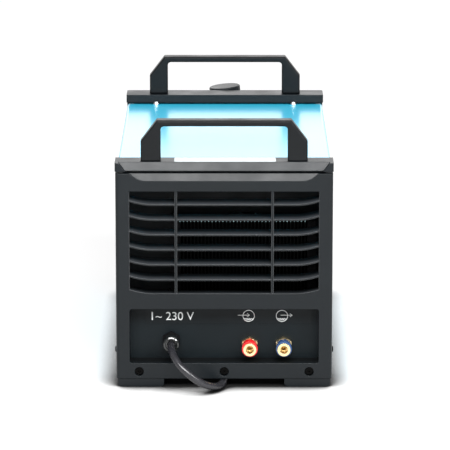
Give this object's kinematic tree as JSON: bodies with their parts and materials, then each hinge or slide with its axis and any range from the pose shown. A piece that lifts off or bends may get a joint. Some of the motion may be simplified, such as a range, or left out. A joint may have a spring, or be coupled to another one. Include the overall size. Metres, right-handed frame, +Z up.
{
  "type": "torch cooling unit of a plasma cutter",
  "caption": "Portable liquid cooler of a plasma cutter: blue sheet cover between two black bezels with handles, louvred end, recessed hose couplings, coolant tank and mains lead.",
  "frame": {"origin": "on the floor, in the middle of the footprint of the case", "axes": "+Z up; -Y is the connector end with the louvres, couplings and cable gland; +Y is the control end with the tank nose; +X is to the right when looking at the connector end"},
  "size_m": [0.2459, 0.6827, 0.3],
  "materials": {
    "bezel_plastic": "fine moulded grain",
    "trim_plastic": "fine moulded grain",
    "handle_plastic": "fine moulded grain",
    "blue_paint": "gloss paint, sky blue",
    "zinc_steel": "galvanised sheet",
    "panel_paint": "satin dark paint",
    "inner_paint": "matt black paint",
    "label_dark": "printed strip",
    "label_white": "blank white film",
    "zinc_screw": "zinc plated",
    "black_screw": "black oxide",
    "bright_screw": "bright plated",
    "gland_plastic": "glossy polyamide",
    "cord_rubber": "smooth rubber sheath",
    "plug_rubber": "moulded rubber",
    "nickel": "nickel plated brass",
    "brass": "turned brass",
    "valve_brass": "darkened brass",
    "sleeve_red": "red lacquered ring",
    "sleeve_blue": "blue lacquered ring",
    "tank_plastic": "translucent polyethylene",
    "window_clear": "clear polycarbonate lens",
    "gasket_rubber": "flat seal",
    "cap_plastic": "moulded, with grip grooves",
    "switch_plastic": "moulded",
    "rocker_red": "moulded",
    "lamp_green": "lens",
    "radiator_aluminium": "black coated aluminium fins, bare at their upper ends",
    "header_plastic": "moulded header",
    "fan_plastic": "moulded",
    "motor_paint": "enamel",
    "shaft_steel": "ground steel",
    "hose_rubber": "smooth hose",
    "capacitor_shell": "plain case",
    "terminal_plastic": "moulded block"
  },
  "bodies": {
    "case": {"rear_bezel": "bezel_plastic", "rear_trim": "trim_plastic", "rear_handle": "handle_plastic", "front_bezel": "bezel_plastic", "front_trim": "trim_plastic", "front_handle": "handle_plastic", "cover": "blue_paint", "base_pan": "zinc_steel", "feet": "bezel_plastic", "connector_panel": "panel_paint", "panel_label": "label_dark", "top_label": "label_white", "handle_screws": "zinc_screw", "bezel_screws": "black_screw", "cover_screws": "bright_screw", "side_screws": "black_screw", "gland_body": "gland_plastic", "gland_nut": "gland_plastic", "gland_locknut": "gland_plastic", "power_cord": "cord_rubber", "cord_coil": "cord_rubber", "plug": "plug_rubber", "plug_contacts": "nickel", "coupling_body_return": "brass", "coupling_body_supply": "brass", "coupling_locknuts": "brass", "tank": "tank_plastic", "filler_neck": "tank_plastic", "tank_nose": "bezel_plastic", "level_window": "window_clear", "switch_housing": "switch_plastic", "pilot_lamps": "lamp_green", "nose_screws": "black_screw", "bulkhead": "inner_paint", "radiator_core": "radiator_aluminium", "radiator_tanks": "header_plastic", "fan_frame": "fan_plastic", "pump_motor": "motor_paint", "pump_head": "brass", "hose_supply": "hose_rubber", "hose_return": "hose_rubber", "hose_pressure": "hose_rubber", "hose_suction": "hose_rubber", "hose_clips": "bright_screw", "capacitor": "capacitor_shell", "terminal_block": "terminal_plastic"},
    "fan": {"fan_rotor": "fan_plastic"},
    "pump": {"pump_rotor": "shaft_steel"},
    "return_sleeve": {"release_sleeve_red": "sleeve_red"},
    "supply_sleeve": {"release_sleeve_blue": "sleeve_blue"},
    "return_valve": {"valve_pin_return": "valve_brass"},
    "supply_valve": {"valve_pin_supply": "valve_brass"},
    "cap_seal": {"filler_gasket": "gasket_rubber"},
    "cap": {"filler_cap": "cap_plastic"},
    "rocker": {"power_rocker": "rocker_red"}
  },
  "joints": [
    {"name": "fan_spin", "type": "hinge", "parent": "case", "child": "fan", "pos_m": [0.0215, -0.14, 0.122], "axis": [0, 1, 0], "continuous": true},
    {"name": "pump_spin", "type": "hinge", "parent": "case", "child": "pump", "pos_m": [-0.035, -0.05, 0.075], "axis": [0, 1, 0], "continuous": true},
    {"name": "return_sleeve_slide", "type": "slide", "parent": "case", "child": "return_sleeve", "axis": [0, 1, 0], "range_m": [0, 0.0027], "stiffness_N_per_m": 1500},
    {"name": "supply_sleeve_slide", "type": "slide", "parent": "case", "child": "supply_sleeve", "axis": [0, 1, 0], "range_m": [0, 0.0027], "stiffness_N_per_m": 1500},
    {"name": "return_valve_slide", "type": "slide", "parent": "case", "child": "return_valve", "axis": [0, 1, 0], "range_m": [0, 0.003], "stiffness_N_per_m": 800},
    {"name": "supply_valve_slide", "type": "slide", "parent": "case", "child": "supply_valve", "axis": [0, 1, 0], "range_m": [0, 0.003], "stiffness_N_per_m": 800},
    {"name": "cap_lift", "type": "slide", "parent": "case", "child": "cap_seal", "axis": [-0.0958, 0, 0.9954], "range_m": [0, 0.0101]},
    {"name": "cap_turn", "type": "hinge", "parent": "cap_seal", "child": "cap", "pos_m": [0, 0.2275, 0.251], "axis": [-0.0958, 0, 0.9954], "range_deg": [0, 900]},
    {"name": "rocker_tilt", "type": "hinge", "parent": "case", "child": "rocker", "pos_m": [0.044, 0.2445, 0.186], "axis": [1, 0, 0], "range_deg": [-24, 0]}
  ],
  "couplings": [
    {"joint": "cap_lift", "follows": "cap_turn", "m_per_rad": 0.00063662}
  ]
}
